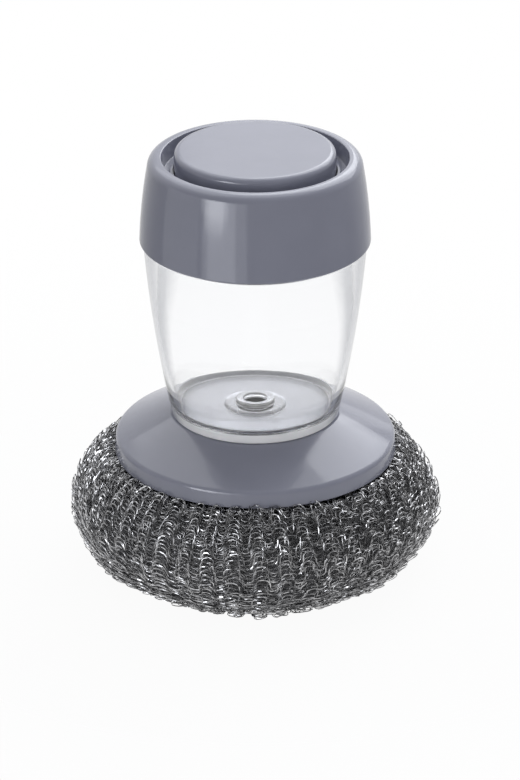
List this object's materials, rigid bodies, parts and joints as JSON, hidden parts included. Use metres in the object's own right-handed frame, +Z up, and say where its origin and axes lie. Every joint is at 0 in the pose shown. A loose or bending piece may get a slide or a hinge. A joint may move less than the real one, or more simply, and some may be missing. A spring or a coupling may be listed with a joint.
{
  "type": "soap-dispensing pot scrubber",
  "caption": "Palm-held pot scrubber: a clear soap cup with a press-button pump cap stands on a grey disc that holds a ring-shaped knitted wire scourer.",
  "frame": {"origin": "on the table, under the middle of the scourer", "axes": "+Z up along the axis of the cup and the button; +X and +Y lie in the table plane"},
  "size_m": [0.0908, 0.0908, 0.1086],
  "materials": {
    "grey_plastic": "smooth gloss, cool grey",
    "clear_plastic": "clear, polished",
    "silicone": "soft silicone",
    "spring_steel": "drawn stainless wire",
    "wire_knit": "knitted stainless wire, bright"
  },
  "bodies": {
    "head": {"base_disc": "grey_plastic", "hub_socket": "grey_plastic", "scourer_retainer": "grey_plastic", "wire_scourer": "wire_knit", "scourer_tie": "spring_steel"},
    "spigot_seal": {"spigot_gasket": "silicone"},
    "cup": {"reservoir_cup": "clear_plastic", "outlet_valve": "silicone", "valve_ring": "grey_plastic"},
    "cap_seal": {"cap_gasket": "silicone"},
    "cap": {"cap_shell": "grey_plastic", "pump_cylinder": "grey_plastic", "button_spring": "spring_steel"},
    "button": {"push_button": "grey_plastic", "piston_seal": "silicone"}
  },
  "joints": [
    {"name": "head_lift", "type": "slide", "parent": "head", "child": "spigot_seal", "axis": [0, 0, 1], "range_m": [0, 0.0092]},
    {"name": "head_turn", "type": "hinge", "parent": "spigot_seal", "child": "cup", "pos_m": [0, 0, 0.0318], "axis": [0, 0, 1], "range_deg": [0, 810]},
    {"name": "cap_lift", "type": "slide", "parent": "cup", "child": "cap_seal", "axis": [0, 0, 1], "range_m": [0, 0.0182]},
    {"name": "cap_turn", "type": "hinge", "parent": "cap_seal", "child": "cap", "pos_m": [0, 0, 0.1], "axis": [0, 0, 1], "range_deg": [0, 1080]},
    {"name": "button_press", "type": "slide", "parent": "cap", "child": "button", "axis": [0, 0, -1], "range_m": [0, 0.005], "stiffness_N_per_m": 350, "springref_m": -0.006, "deforming": ["button_spring"]}
  ],
  "couplings": [
    {"joint": "head_lift", "follows": "head_turn", "m_per_rad": 0.00063662},
    {"joint": "cap_lift", "follows": "cap_turn", "m_per_rad": 0.00095493}
  ]
}
